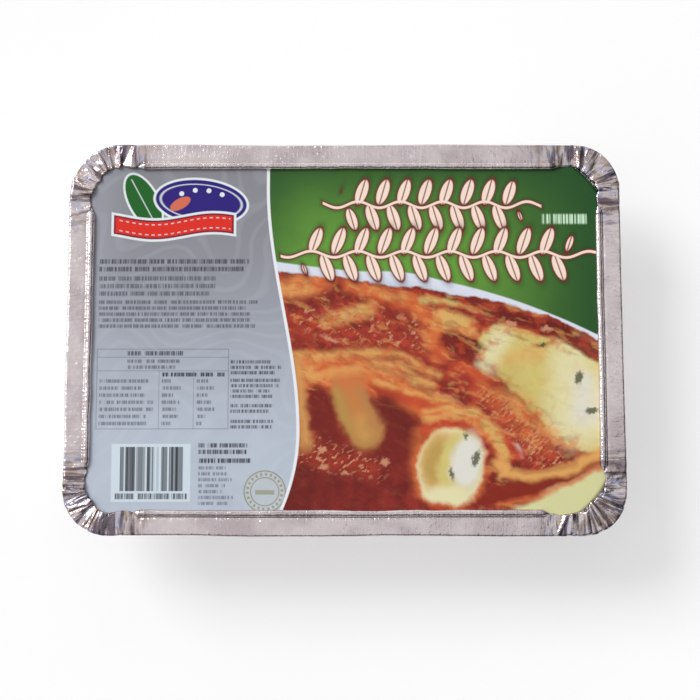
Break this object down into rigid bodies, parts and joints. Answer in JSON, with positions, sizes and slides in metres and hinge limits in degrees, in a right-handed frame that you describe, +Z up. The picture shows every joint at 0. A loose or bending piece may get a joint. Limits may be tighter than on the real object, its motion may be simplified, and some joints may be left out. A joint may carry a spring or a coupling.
{
  "type": "foil tray ready meal pack",
  "caption": "Shut ready meal pack: a filled aluminium foil tray with tapered wrinkled walls and a rim crimped over a printed card lid, resting on its flat base.",
  "frame": {"origin": "centre of the flat base, on the surface that the pack rests on", "axes": "+X along the long side towards the picture end of the lid, +Y along the short side towards the top of the lid's print, +Z up out of the lid"},
  "size_m": [0.225, 0.16, 0.038],
  "materials": {
    "foil": "thin bright foil with fine creases, pleated at the corners",
    "printed_card": "semi-gloss printed board: a silver grey panel, a green field and a red and cream picture field"
  },
  "bodies": {
    "root": {"foil_tray": "foil", "card_lid": "printed_card"}
  },
  "joints": []
}
